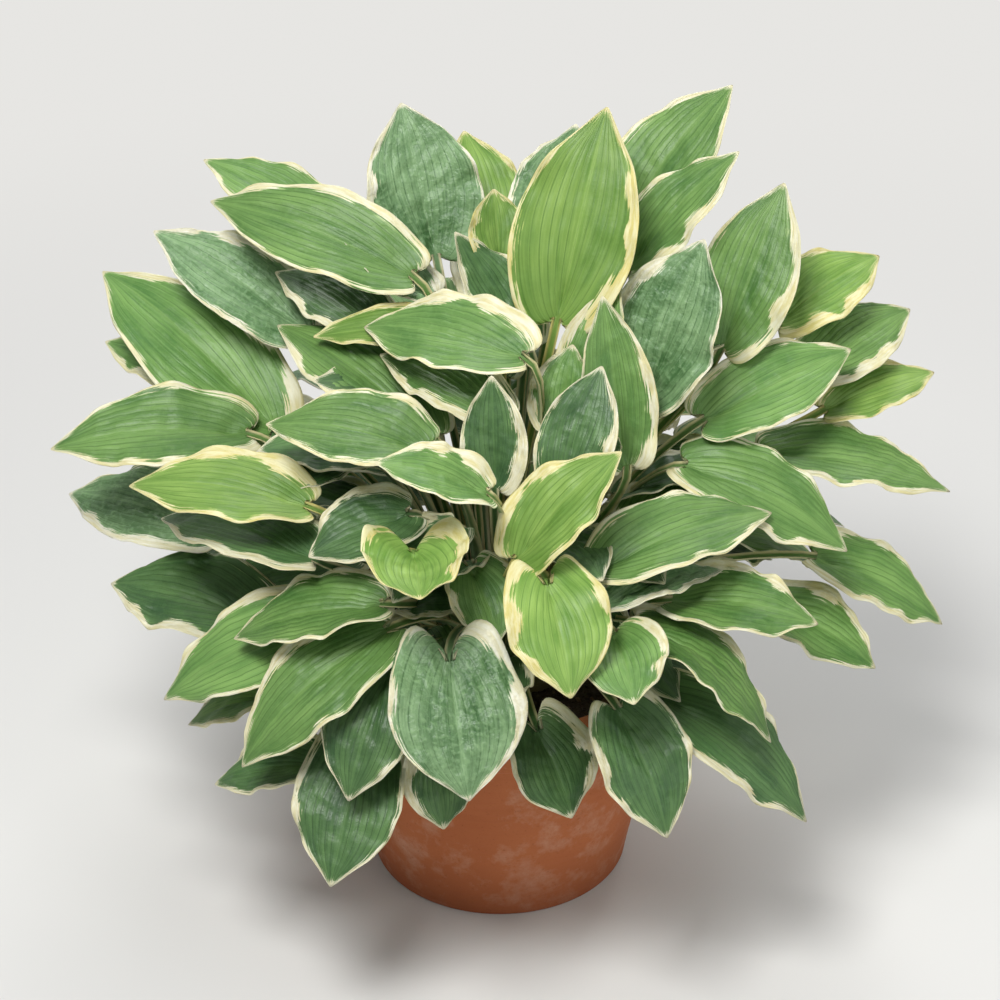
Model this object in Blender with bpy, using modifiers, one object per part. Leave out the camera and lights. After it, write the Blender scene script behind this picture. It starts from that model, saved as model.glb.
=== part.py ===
"""A hosta with cream-edged leaves, growing in a plain terracotta pot.

The origin is the centre of the pot's base, +Z is up and the front is -Y. A leaf is one piece from
its foot on the crown to its tip: a channelled stalk that opens into a ribbed, heart-shaped blade.
Bearings are degrees about the crown: 0 is the front, 90 the right, 180 the back.
"""

import math

import bpy
import numpy as np
from mathutils import Matrix, Vector

# Pot, in metres: a thrown flowerpot with a collar round its mouth.
POT_HEIGHT = 0.235
RIM_RADIUS = 0.170
COLLAR_HEIGHT = 0.046
COLLAR_STEP = 0.007
BASE_RADIUS = 0.120
WALL = 0.010
FLOOR = 0.013
LIP_ROUND = 0.004
HOLE_RADIUS = 0.007
HOLE_CIRCLE = 0.060
HOLES = 3
TURN_STEPS = 40

# Soil and crown, in metres.
HEADSPACE = 0.020
SOIL_FALL = 0.004
CROWN_RADIUS = 0.078
CROWN_HEIGHT = 0.012
CROWN_EDGE = 0.005
GAP = 0.0003
FOOT_GAP = 0.0006

# Leaves, in metres.
LEAF_THICKNESS = 0.0014
STALK_HALF_WIDTH = 0.0045
STALK_CHANNEL = 0.0035
TIP_HALF_WIDTH = 0.0015
FEET_RADIUS = 0.068
FEET_SPACING = 0.0115
STALK_ROWS = (0.0, 0.3, 0.64, 1.0)
BLADE_ROWS = (0.1, 0.26, 0.46, 0.66, 0.85, 1.0)
COLUMNS = (-1.0, -0.55, 0.0, 0.55, 1.0)

SOIL_TOP = POT_HEIGHT - HEADSPACE
FOOT_HEIGHT = CROWN_HEIGHT + GAP + FOOT_GAP

# Habit of a blade: how far the midrib arches over its chord, how far the edges rise above the
# midrib at the base and at the tip (shares of the half width), and how far the base lobes reach back.
HABITS = {
    "arched": (0.10, 0.30, -0.10, 0.20),
    "flat": (0.05, 0.20, 0.05, 0.20),
    "upright": (0.04, 0.35, 0.10, 0.15),
    "heart": (0.09, 0.25, -0.15, 0.32),
    "hanging": (0.14, 0.25, -0.20, 0.30),
}

# Every leaf: bearing, reach and height of the blade's base, then heading, pitch, length and width
# of the blade, its roll, its habit and its colour. Lengths in mm from the crown, angles in degrees.
UPPER_LEAVES = (
    (-136, 207, 336, -118, 22, 158, 78, 10, "arched", "mid"),
    (-127, 100, 355, -112, 10, 198, 88, 30, "arched", "mid"),
    (-115, 193, 290, -116, 25, 166, 88, 25, "flat", "blue"),
    (-153, 129, 349, -152, 60, 138, 105, 10, "upright", "blue"),
    (-177, 145, 346, -164, 45, 110, 80, 0, "upright", "fresh"),
    (90, 50, 343, 150, 62, 185, 108, -15, "upright", "fresh"),
    (135, 156, 378, 122, 45, 158, 90, -20, "arched", "mid"),
    (120, 133, 358, 105, 45, 139, 72, -25, "arched", "mid"),
    (99, 198, 298, 138, 55, 154, 88, -25, "upright", "mid"),
    (108, 264, 298, 123, 20, 115, 75, -25, "arched", "fresh"),
    (79, 128, 281, 123, 64, 144, 105, -20, "upright", "blue"),
)
MIDDLE_LEAVES = (
    (-101, 210, 216, -130, 25, 222, 110, 25, "arched", "mid"),
    (-93, 227, 217, -83, 0, 171, 88, 25, "arched", "mid"),
    (-55, 204, 223, -99, 2, 152, 82, 15, "arched", "fresh"),
    (-91, 262, 125, -119, 0, 154, 85, 30, "arched", "blue"),
    (-48, 213, 185, -123, -5, 168, 80, 10, "arched", "deep"),
    (-30, 133, 279, -100, 5, 133, 82, 25, "arched", "mid"),
    (-52, 77, 254, -126, 16, 181, 85, 12, "arched", "mid"),
    (-120, 50, 322, -85, -4, 120, 52, 15, "flat", "fresh"),
    (15, 65, 338, -118, -5, 156, 88, 20, "arched", "mid"),
    (-2, 138, 254, 180, 70, 94, 56, 0, "upright", "deep"),
    (-4, 185, 276, -80, 22, 96, 62, 20, "arched", "mid"),
    (5, 190, 217, 109, 45, 122, 78, -22, "arched", "fresh"),
    (20, 152, 254, 147, 52, 109, 66, -15, "upright", "deep"),
    (52, 137, 245, -152, 68, 146, 65, 10, "upright", "mid"),
    (84, 181, 253, 112, 15, 147, 82, -25, "flat", "mid"),
    (103, 284, 253, 122, 15, 122, 72, -25, "arched", "mid"),
    (99, 297, 227, 116, 8, 112, 62, -25, "arched", "fresh"),
    (92, 238, 202, 82, -10, 166, 85, -12, "arched", "mid"),
    (73, 170, 223, 71, -20, 156, 88, -15, "arched", "mid"),
    (27, 192, 195, 114, 5, 160, 82, -15, "arched", "mid"),
)
OUTER_LEAVES = (
    (-74, 238, 82, -105, 5, 125, 105, 12, "heart", "deep"),
    (-43, 201, 129, -86, -28, 174, 92, 25, "hanging", "mid"),
    (-29, 209, 165, -93, -18, 131, 82, 10, "arched", "mid"),
    (-27, 212, 143, -68, -38, 167, 88, 22, "hanging", "mid"),
    (-24, 231, 117, -30, -50, 112, 80, 10, "arched", "deep"),
    (-29, 243, 39, -16, -45, 119, 95, 5, "heart", "deep"),
    (-10, 239, 144, 9, -48, 116, 115, 0, "heart", "blue"),
    (24, 243, 86, 35, -48, 114, 85, -5, "arched", "deep"),
    (37, 230, 70, 72, -35, 163, 85, -15, "hanging", "deep"),
    (10, 224, 209, 14, -38, 98, 90, 0, "heart", "fresh"),
    (-20, 208, 224, 6, 6, 85, 88, 0, "heart", "fresh"),
    (-32, 150, 220, -66, -14, 90, 75, 20, "arched", "deep"),
    (24, 232, 155, 12, -10, 83, 78, -5, "arched", "mid"),
    (34, 221, 143, 63, -33, 141, 88, 8, "hanging", "mid"),
    (25, 210, 170, 120, 0, 116, 48, -10, "arched", "blue"),
    (44, 212, 150, 82, -5, 124, 82, -10, "arched", "mid"),
    (76, 249, 87, 67, -22, 107, 80, -15, "arched", "mid"),
    (86, 285, 111, 81, -25, 129, 80, -15, "arched", "mid"),
)
BACK_LEAVES = (
    (125, 235, 140, 125, -30, 165, 95, 0, "hanging", "mid"),
    (155, 235, 120, 155, -30, 165, 98, 0, "hanging", "blue"),
    (182, 235, 135, 182, -30, 165, 95, 0, "hanging", "mid"),
    (-155, 235, 120, -155, -30, 165, 98, 0, "hanging", "deep"),
    (-128, 235, 135, -128, -30, 165, 95, 0, "hanging", "mid"),
    (142, 190, 240, 142, -5, 160, 95, 0, "arched", "mid"),
    (170, 190, 250, 170, -5, 160, 95, 0, "arched", "blue"),
    (-160, 190, 240, -160, -5, 160, 95, 0, "arched", "mid"),
)
TIERS = {"upper": UPPER_LEAVES, "middle": MIDDLE_LEAVES, "outer": OUTER_LEAVES, "back": BACK_LEAVES}

# Surface of each sub-part: colour as linear red, green, blue, then roughness.
SURFACES = {
    "terracotta": ((0.46, 0.17, 0.08), 0.85),
    "soil": ((0.035, 0.022, 0.014), 0.95),
    "crown": ((0.30, 0.27, 0.14), 0.70),
    "fresh": ((0.22, 0.36, 0.05), 0.45),
    "mid": ((0.09, 0.22, 0.05), 0.45),
    "blue": ((0.08, 0.19, 0.10), 0.50),
    "deep": ((0.03, 0.10, 0.035), 0.45),
}


def clear_scene():
    for obj in list(bpy.data.objects):
        bpy.data.objects.remove(obj)


def new_collection(name, hidden=False):
    collection = bpy.data.collections.new(name)
    bpy.context.scene.collection.children.link(collection)
    collection.hide_render = hidden
    return collection


def make_material(name):
    colour, roughness = SURFACES[name]
    material = bpy.data.materials.new(name)
    material.use_nodes = True
    shader = material.node_tree.nodes["Principled BSDF"]
    shader.inputs["Base Color"].default_value = (*colour, 1.0)
    shader.inputs["Roughness"].default_value = roughness
    shader.inputs["Metallic"].default_value = 0.0
    return material


def new_object(name, vertices, edges, faces, collection, material=None):
    mesh = bpy.data.meshes.new(name)
    mesh.from_pydata([tuple(map(float, v)) for v in vertices], edges, faces)
    mesh.update()
    if material:
        mesh.materials.append(material)
    obj = bpy.data.objects.new(name, mesh)
    collection.objects.link(obj)
    return obj


def turned(name, profile, collection, material):
    """A profile of (radius, height) points carried once round the Z axis."""
    points = [(radius, 0.0, height) for radius, height in profile]
    edges = [(i, i + 1) for i in range(len(points) - 1)]
    obj = new_object(name, points, edges, [], collection, material)
    screw = obj.modifiers.new("turn", "SCREW")
    screw.steps = screw.render_steps = TURN_STEPS
    screw.use_merge_vertices = True
    screw.merge_threshold = 0.00001
    screw.use_smooth_shade = True
    return obj


# The pot: wall, floor and collar in one thrown piece, with drain holes through the floor.


def body_radius(height):
    """Outer radius of the tapering body under the collar."""
    top = POT_HEIGHT - COLLAR_HEIGHT
    return BASE_RADIUS + (RIM_RADIUS - COLLAR_STEP - 0.008 - BASE_RADIUS) * height / top


def inner_radius(height):
    return body_radius(height) - WALL


def make_pot(collection, cutters):
    collar_foot = POT_HEIGHT - COLLAR_HEIGHT
    body_top = body_radius(collar_foot)
    collar_low = body_top + COLLAR_STEP
    mouth = inner_radius(POT_HEIGHT)
    profile = [
        (0.0, FLOOR),
        (inner_radius(FLOOR), FLOOR),
        (mouth, POT_HEIGHT - LIP_ROUND),
        (mouth + LIP_ROUND, POT_HEIGHT),
        (RIM_RADIUS - LIP_ROUND, POT_HEIGHT),
        (RIM_RADIUS, POT_HEIGHT - LIP_ROUND),
        (collar_low, collar_foot + LIP_ROUND),
        (collar_low - LIP_ROUND / 2, collar_foot),
        (body_top, collar_foot),
        (BASE_RADIUS, LIP_ROUND / 2),
        (BASE_RADIUS - LIP_ROUND / 2, 0.0),
        (0.0, 0.0),
    ]
    pot = turned("pot", profile, collection, make_material("terracotta"))
    for i in range(HOLES):
        place = Matrix.Rotation(2 * math.pi * i / HOLES, 4, "Z") @ Vector((0.0, HOLE_CIRCLE, FLOOR / 2))
        bpy.ops.mesh.primitive_cylinder_add(
            vertices=16, radius=HOLE_RADIUS, depth=3 * FLOOR, location=place
        )
        cutter = bpy.context.object
        cutter.name = f"drain_cutter_{i + 1}"
        cutter.hide_render = True
        cutter.display_type = "WIRE"
        for owner in cutter.users_collection:
            owner.objects.unlink(cutter)
        cutters.objects.link(cutter)
        cut = pot.modifiers.new(f"drain_hole_{i + 1}", "BOOLEAN")
        cut.operation = "DIFFERENCE"
        cut.solver = "EXACT"
        cut.object = cutter
    return pot


def make_soil(collection):
    wall_gap = GAP * 1.5
    edge = SOIL_TOP - SOIL_FALL
    profile = [
        (0.0, SOIL_TOP),
        (CROWN_RADIUS + 0.01, SOIL_TOP),
        (inner_radius(edge) - 0.006, edge + 0.001),
        (inner_radius(edge) - wall_gap, edge - 0.002),
        (inner_radius(FLOOR + GAP) - wall_gap, FLOOR + GAP),
        (0.0, FLOOR + GAP),
    ]
    return turned("soil", profile, collection, make_material("soil"))


def make_crown(collection):
    """The low woody disc that every leaf stalk grows from."""
    low = SOIL_TOP + GAP
    top = low + CROWN_HEIGHT
    profile = [
        (0.0, top),
        (CROWN_RADIUS - CROWN_EDGE, top),
        (CROWN_RADIUS, top - CROWN_EDGE),
        (CROWN_RADIUS - 0.002, low),
        (0.0, low),
    ]
    return turned("crown", profile, collection, make_material("crown"))


# The leaves.


def unit(vectors):
    return vectors / np.linalg.norm(vectors, axis=-1, keepdims=True)


def outward(bearing):
    return np.array([math.sin(math.radians(bearing)), -math.cos(math.radians(bearing)), 0.0])


def sideways(bearing):
    return np.array([math.cos(math.radians(bearing)), math.sin(math.radians(bearing)), 0.0])


def smooth(t):
    return t * t * (3.0 - 2.0 * t)


def blade_axes(leaf):
    """Base of the blade, its chord, and its side and face directions after the roll."""
    bearing, reach, height, heading, pitch, length, _, roll = leaf[:8]
    base = outward(bearing) * reach / 1000 + np.array([0.0, 0.0, height / 1000])
    rise = math.radians(pitch)
    along = math.cos(rise) * outward(heading) + math.sin(rise) * np.array([0.0, 0.0, 1.0])
    level = sideways(heading)
    face = np.cross(along, level)
    turn = math.radians(roll)
    side = math.cos(turn) * level - math.sin(turn) * face
    return base, along * length / 1000, side, np.cross(along, side)


def crown_feet(leaves):
    """Where each leaf stands on the crown: on its own bearing, steep leaves inside and low ones
    outside, then spread until no two stand closer than the spacing."""
    middles = []
    for leaf in leaves:
        base, chord, _, _ = blade_axes(leaf)
        middles.append(base)
    middles = np.array(middles)
    run = np.hypot(middles[:, 0], middles[:, 1])
    rank = np.argsort(np.argsort(run / (middles[:, 2] + 0.05)))
    radius = FEET_RADIUS * np.sqrt((rank + 0.5) / len(leaves))
    feet = middles[:, :2] / run[:, None] * radius[:, None]
    for _ in range(300):
        apart = feet[:, None] - feet[None]
        distance = np.hypot(apart[..., 0], apart[..., 1]) + np.eye(len(feet))
        short = np.clip(FEET_SPACING - distance, 0.0, None) * (1 - np.eye(len(feet)))
        feet += (apart / distance[..., None] * short[..., None]).sum(axis=1) * 0.4
        reach = np.hypot(feet[:, 0], feet[:, 1])
        feet *= np.minimum(1.0, FEET_RADIUS / reach)[:, None]
    return feet


def half_width(t, width):
    """Half the blade's width along it: a quick opening at the base, widest at a third, a drawn tip."""
    shape = np.sqrt(t) * (1.0 - t) ** 0.85 / 0.4098
    return np.hypot(width / 2000 * shape, STALK_HALF_WIDTH * (1.0 - t)) + TIP_HALF_WIDTH * t


def leaf_surface(leaf, foot):
    """Grid of points over stalk and blade. The stalk's centre line is a Bezier curve that leaves
    the crown upright and enters the blade along its midrib, and the midrib is a parabola over its
    chord. Across it each row is a channel on the stalk and a shallow fold on the blade."""
    base, chord, side, face = blade_axes(leaf)
    width, habit = leaf[6], leaf[8]
    arch, fold_base, fold_tip, lobe = HABITS[habit]
    length = np.linalg.norm(chord)
    start = np.array([foot[0], foot[1], FOOT_HEIGHT])
    entry = unit(chord + 4 * arch * length * face)
    span = np.linalg.norm(base - start)

    t = np.array(STALK_ROWS)[:, None]
    rise = start + np.array([0.0, 0.0, 0.35 * span])
    lead = base - 0.15 * span * entry
    stalk = (1 - t) ** 3 * start + 3 * (1 - t) ** 2 * t * rise + 3 * (1 - t) * t**2 * lead + t**3 * base
    stalk_run = (1 - t) ** 2 * (rise - start) + 2 * (1 - t) * t * (lead - rise) + t**2 * (base - lead)

    s = np.array(BLADE_ROWS)[:, None]
    blade = base + s * chord + 4 * arch * length * s * (1 - s) * face
    blade_run = chord + 4 * arch * length * (1 - 2 * s) * face

    centre = np.vstack([stalk, blade])
    run = unit(np.vstack([stalk_run, blade_run]))
    turn = np.vstack([smooth(t), np.ones_like(s)])
    foot_side = sideways(math.degrees(math.atan2(foot[0], -foot[1])))
    across = (1 - turn) * foot_side + turn * side
    across = unit(across - run * (across * run).sum(axis=1, keepdims=True))
    up = np.cross(run, across)

    along = np.concatenate([np.zeros(len(t)), s[:, 0]])
    half = np.where(along > 0, half_width(along, width), STALK_HALF_WIDTH)
    fold = np.where(along > 0, fold_base + (fold_tip - fold_base) * along, 0.0) * half
    channel = STALK_CHANNEL * (1 - along) ** 6
    back = np.where(along > 0, lobe * width / 1000 * (1 - along) ** 4, 0.0)

    v = np.array(COLUMNS)
    points = centre[:, None] + across[:, None] * (half[:, None] * v)[..., None]
    lift = (fold[:, None] + channel[:, None]) * v**2
    points = points + up[:, None] * lift[..., None]
    return points - run[:, None] * (back[:, None] * np.abs(v) ** 1.6)[..., None]


def make_leaf(name, leaf, foot, collection, material, parent):
    points = leaf_surface(leaf, foot)
    rows, columns = points.shape[:2]
    faces = [
        (r * columns + c, r * columns + c + 1, (r + 1) * columns + c + 1, (r + 1) * columns + c)
        for r in range(rows - 1)
        for c in range(columns - 1)
    ]
    obj = new_object(name, points.reshape(-1, 3), [], faces, collection, material)
    obj.data.shade_smooth()
    obj.parent = parent
    body = obj.modifiers.new("thickness", "SOLIDIFY")
    body.thickness = LEAF_THICKNESS
    body.offset = 0.0
    return obj


def make_leaves(collection):
    heart = bpy.data.objects.new("crown_centre", None)
    heart.location = (0.0, 0.0, SOIL_TOP)
    collection.objects.link(heart)
    materials = {name: make_material(name) for name in ("fresh", "mid", "blue", "deep")}
    feet = crown_feet([leaf for tier in TIERS.values() for leaf in tier])
    done = 0
    for tier, leaves in TIERS.items():
        for i, leaf in enumerate(leaves):
            name = f"{tier}_leaf_{i + 1:02d}"
            make_leaf(name, leaf, feet[done], collection, materials[leaf[9]], heart)
            done += 1


clear_scene()
plant = new_collection("potted_hosta")
cutters = new_collection("cutters", hidden=True)
make_pot(plant, cutters)
make_soil(plant)
make_crown(plant)
make_leaves(plant)
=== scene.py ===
"""A hosta with cream-edged leaves in a terracotta pot, with every surface finished.

The pot, soil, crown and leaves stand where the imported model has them. Leaf heights are measured
from the soil and all others from the floor. Bearings are degrees about the crown: 0 is the front,
90 the right and 180 the back.
"""

import math
from functools import partial

import bpy
import numpy as np
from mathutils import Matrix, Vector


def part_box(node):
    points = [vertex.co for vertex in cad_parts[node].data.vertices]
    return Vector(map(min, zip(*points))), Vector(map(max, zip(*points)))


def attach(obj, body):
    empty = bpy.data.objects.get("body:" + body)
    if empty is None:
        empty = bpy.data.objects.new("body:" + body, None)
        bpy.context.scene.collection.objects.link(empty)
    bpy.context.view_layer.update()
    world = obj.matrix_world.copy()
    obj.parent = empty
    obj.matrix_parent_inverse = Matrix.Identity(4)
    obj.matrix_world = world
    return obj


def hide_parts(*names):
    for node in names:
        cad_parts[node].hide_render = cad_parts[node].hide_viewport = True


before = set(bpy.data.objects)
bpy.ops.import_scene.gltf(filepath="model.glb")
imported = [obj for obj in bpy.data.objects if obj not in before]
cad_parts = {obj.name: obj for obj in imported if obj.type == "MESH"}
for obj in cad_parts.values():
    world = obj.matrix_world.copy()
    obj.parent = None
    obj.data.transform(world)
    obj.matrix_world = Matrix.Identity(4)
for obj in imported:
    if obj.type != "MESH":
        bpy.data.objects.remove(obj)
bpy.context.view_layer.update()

# ---------------------------------------------------------------- studio
# A pale paper floor under a wide soft lamp at the upper left, with a weak fill at the right and a
# low light behind. The camera looks down at thirty degrees from two and a half metres.

CAMERA_RISE = math.radians(30.0)
CAMERA_DISTANCE = 2.5
CAMERA_LENS = 101.0
CAMERA_SHIFT = -0.026
LOOK_HEIGHT = 0.402
FLOOR_SIDE = 24.0
FLOOR_FADE = (0.55, 1.9)
LAMPS = {
    "key_light": ((-0.5, -1.3, 2.7), 0.9, 68.0),
    "fill_light": ((1.9, -1.3, 1.5), 1.6, 12.0),
    "back_light": ((0.4, 1.7, 2.3), 1.2, 28.0),
}
SKY_STRENGTH = 0.32


def linear(code):
    """Linear red, green, blue and alpha of an sRGB colour written as rrggbb."""
    parts = [int(code[i : i + 2], 16) / 255 for i in (0, 2, 4)]
    return (*(c / 12.92 if c <= 0.04045 else ((c + 0.055) / 1.055) ** 2.4 for c in parts), 1.0)


BACKDROP = linear("ecebe8")
BACKDROP_STRENGTH = 0.95


def node(tree, kind, inputs=(), out=0, **settings):
    """Adds a node of a kind with its settings and returns its output. Inputs are a list in the
    node's order, or a dictionary by name or number, of numbers, colours and other outputs."""
    made = tree.nodes.new("ShaderNode" + kind)
    for name, value in settings.items():
        setattr(made, name, value)
    pairs = inputs.items() if isinstance(inputs, dict) else enumerate(inputs)
    for key, value in pairs:
        if isinstance(value, bpy.types.NodeSocket):
            tree.links.new(value, made.inputs[key])
        else:
            made.inputs[key].default_value = value
    return made.outputs[out]


def new_material(name, **constants):
    """A material with a Principled shader whose sockets hold the constants, and its node adder."""
    material = bpy.data.materials.new(name)
    material.use_nodes = True
    tree = material.node_tree
    shader = tree.nodes["Principled BSDF"]
    for socket, value in constants.items():
        shader.inputs[socket.replace("_", " ")].default_value = value
    return material, shader, partial(node, tree)


def join(output, target, socket):
    """Links an output to a named socket of a node in the same tree."""
    target.id_data.links.new(output, target.inputs[socket])


def seen_directly(add):
    """One where the camera, a reflection or a look through glass meets a surface, nought where it
    only gives or takes light."""
    kinds = ("Is Camera Ray", "Is Glossy Ray", "Is Transmission Ray")
    seen, *others = [add("LightPath", out=kind) for kind in kinds]
    for other in others:
        seen = add("Math", [seen, other], operation="MAXIMUM")
    return seen


scene = bpy.context.scene
scene.view_settings.view_transform = "Standard"

camera = bpy.data.objects.new("camera", bpy.data.cameras.new("camera"))
camera.data.lens = CAMERA_LENS
camera.data.shift_y = CAMERA_SHIFT
camera.location = (
    0.0,
    -CAMERA_DISTANCE * math.cos(CAMERA_RISE),
    LOOK_HEIGHT + CAMERA_DISTANCE * math.sin(CAMERA_RISE),
)
camera.rotation_euler = (math.pi / 2 - CAMERA_RISE, 0.0, 0.0)
scene.collection.objects.link(camera)
scene.camera = camera

# Matt white card that takes the plant's shadow. Past a metre or so it is seen to glow as the
# backdrop does, so that it has no edge.
card, shader, add = new_material("white_card", Roughness=0.9, Specular_IOR_Level=0.2)
shader.inputs["Base Color"].default_value = linear("dcdbd7")
reach = add("VectorMath", [add("TexCoord", out="Object")], out="Value", operation="LENGTH")
far = add("MapRange", [reach, *FLOOR_FADE], interpolation_type="SMOOTHSTEP")
far = add("Math", [far, seen_directly(add)], operation="MULTIPLY")
glowing = add("Emission", [BACKDROP, BACKDROP_STRENGTH])
glowing = add("MixShader", [far, shader.outputs[0], glowing])
join(glowing, card.node_tree.nodes["Material Output"], "Surface")
bpy.ops.mesh.primitive_plane_add(size=FLOOR_SIDE)
floor = bpy.context.object
floor.name = "studio_floor"
floor.data.materials.append(card)

# The sky that lights the plant is dimmer than the backdrop that the camera and glossy rays see.
world = bpy.data.worlds.new("studio_sky")
world.use_nodes = True
scene.world = world
add = partial(node, world.node_tree)
sky = add("Background", [linear("f4f7ff"), SKY_STRENGTH])
backdrop = add("Background", [BACKDROP, BACKDROP_STRENGTH])
sky = add("MixShader", [seen_directly(add), sky, backdrop])
join(sky, world.node_tree.nodes["World Output"], "Surface")

for name, (place, size, power) in LAMPS.items():
    lamp = bpy.data.lights.new(name, "AREA")
    lamp.size = size
    lamp.energy = power
    obj = bpy.data.objects.new(name, lamp)
    obj.location = place
    x, y, drop = -place[0], -place[1], place[2] - LOOK_HEIGHT
    obj.rotation_euler = (math.atan2(math.hypot(x, y), drop), 0.0, math.atan2(-x, y))
    scene.collection.objects.link(obj)

# ---------------------------------------------------------------- pot
# A thrown flowerpot of red earthenware, fired without a glaze: a tapering body, a collar round the
# mouth, a flat foot and three drain holes. Faint rings are left by the potter's fingers.

POT_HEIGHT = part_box("pot")[1][2]
RIM_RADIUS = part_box("pot")[1][0]
COLLAR_HEIGHT = 0.046
COLLAR_STEP = 0.007
COLLAR_TAPER = 0.008
BASE_RADIUS = 0.120
WALL = 0.010
POT_FLOOR = 0.013
LIP = 0.004
HOLE_RADIUS = 0.007
HOLE_CIRCLE = 0.060
HOLES = 3
ROUND_STEPS = 160


def mesh_piece(name, points, faces, materials, smooth=True):
    """An object at the origin from points and faces, linked to the scene."""
    mesh = bpy.data.meshes.new(name)
    mesh.from_pydata(points.reshape(-1, 3).tolist(), [], faces)
    for material in materials:
        mesh.materials.append(material)
    if smooth:
        mesh.shade_smooth()
    obj = bpy.data.objects.new(name, mesh)
    scene.collection.objects.link(obj)
    return obj


def turned(profile, steps, unevenness=None):
    """Points and faces of a profile of (radius, height) rows turned about Z, with a pole point to
    close each end. Unevenness is a function of angle and height that is added to the radius."""
    profile = np.array(profile)
    rows = len(profile)
    turn = np.linspace(0.0, 2 * np.pi, steps, endpoint=False)
    radius = profile[:, :1] + np.zeros(steps)
    height = profile[:, 1:] + np.zeros(steps)
    if unevenness:
        radius = radius + unevenness(turn, height)
    rings = np.stack([radius * np.cos(turn), radius * np.sin(turn), height], axis=-1).reshape(-1, 3)
    poles = np.array([[0, 0, profile[0, 1]], [0, 0, profile[-1, 1]]])
    here = np.arange(steps)
    there = (here + 1) % steps
    step = np.arange(rows - 1)[:, None] * steps
    quads = np.stack([here + step, here + step + steps, there + step + steps, there + step], axis=-1)
    first = np.stack([here, there, np.full(steps, rows * steps)], axis=-1)
    last = np.stack([there, here, np.full(steps, steps + 1)], axis=-1) + (rows - 1) * steps
    faces = quads.reshape(-1, 4).tolist() + first.tolist() + last.tolist()
    return np.vstack([rings, poles]), faces


def body_radius(height):
    """Outer radius of the tapering body."""
    top = RIM_RADIUS - COLLAR_STEP - COLLAR_TAPER
    return BASE_RADIUS + (top - BASE_RADIUS) * height / (POT_HEIGHT - COLLAR_HEIGHT)


def round_edge(centre, radius, start, end):
    """Six profile points of an arc about a centre, its angles in degrees."""
    angles = np.radians(np.linspace(start, end, 6))
    return [(centre[0] + radius * np.cos(a), centre[1] + radius * np.sin(a)) for a in angles]


def straight(start, end, count):
    """Profile points on a straight line, without its last."""
    return [tuple(p) for p in np.linspace(start, end, count, endpoint=False)]


def throwing_marks(angle, height):
    """Rings of a quarter of a millimetre, and a slow unevenness round the pot that grows upwards."""
    rings = 0.00022 * np.sin(height * 620 + 0.6 * np.sin(angle)) + 0.0001 * np.sin(height * 1500 + angle)
    plain = (height > 0.006) & (height < POT_HEIGHT - 0.006)
    return np.where(plain, rings - 0.0003, 0.0) + 0.0005 * np.sin(2 * angle + 0.8) * height / POT_HEIGHT


def terracotta():
    """Red earthenware, fired bare: dry and matt, clouded by the kiln, with lime bloomed through it
    in patches, fine dark grit, and a damp foot."""
    clay, shader, add = new_material("terracotta", Specular_IOR_Level=0.25)
    place = add("TexCoord", out="Object")
    cloud = add("TexNoise", {"Vector": place, "Scale": 9.0, "Detail": 5.0, "Roughness": 0.6})
    patches = add("TexNoise", {"Vector": place, "Scale": 20.0, "Detail": 8.0, "Roughness": 0.68})
    grit = add("TexNoise", {"Vector": place, "Scale": 420.0, "Detail": 3.0})
    height = add("SeparateXYZ", [place], out=2)
    layers = (
        (add("MapRange", [patches, 0.50, 0.76, 0.0, 0.55]), "dbb9a0"),
        (add("MapRange", [grit, 0.62, 0.75, 0.0, 0.35]), "6e3a22"),
        (add("MapRange", [height, 0.0, 0.07, 0.45, 0.0]), "7d4327"),
    )
    colour = add("Mix", {0: cloud, 6: linear("a4572f"), 7: linear("c4784e")}, out=2, data_type="RGBA")
    for share, code in layers:
        colour = add("Mix", {0: share, 6: colour, 7: linear(code)}, out=2, data_type="RGBA")
    join(colour, shader, "Base Color")
    join(add("MapRange", [cloud, 0.0, 1.0, 0.78, 0.92]), shader, "Roughness")
    lines = add("TexWave", {"Vector": place, "Scale": 70.0, "Distortion": 1.2}, out=1, bands_direction="Z")
    relief = add("Math", [lines, 0.25, grit], operation="MULTIPLY_ADD")
    join(add("Bump", {"Strength": 0.35, "Distance": 0.0006, "Height": relief}), shader, "Normal")
    return clay


collar_foot = POT_HEIGHT - COLLAR_HEIGHT
collar_low = body_radius(collar_foot) + COLLAR_STEP
mouth = body_radius(POT_HEIGHT) - WALL
profile = (
    straight((0.001, POT_FLOOR), (body_radius(POT_FLOOR) - WALL, POT_FLOOR), 8)
    + straight((body_radius(POT_FLOOR) - WALL, POT_FLOOR), (mouth, POT_HEIGHT - LIP), 30)
    + round_edge((mouth + LIP, POT_HEIGHT - LIP), LIP, 180, 90)
    + round_edge((RIM_RADIUS - LIP, POT_HEIGHT - LIP), LIP, 90, 0)
    + straight((RIM_RADIUS, POT_HEIGHT - 2 * LIP), (collar_low, collar_foot + LIP), 14)
    + round_edge((collar_low - LIP, collar_foot + LIP), LIP, 0, -90)
    + straight((body_radius(collar_foot), collar_foot), (BASE_RADIUS, LIP / 2), 60)
    + round_edge((BASE_RADIUS - LIP / 2, LIP / 2), LIP / 2, 0, -90)
    + straight((BASE_RADIUS - LIP, 0.0), (0.0, 0.0), 8)
)
pot = mesh_piece("terracotta_pot", *turned(profile, ROUND_STEPS, throwing_marks), [terracotta()])
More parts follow.
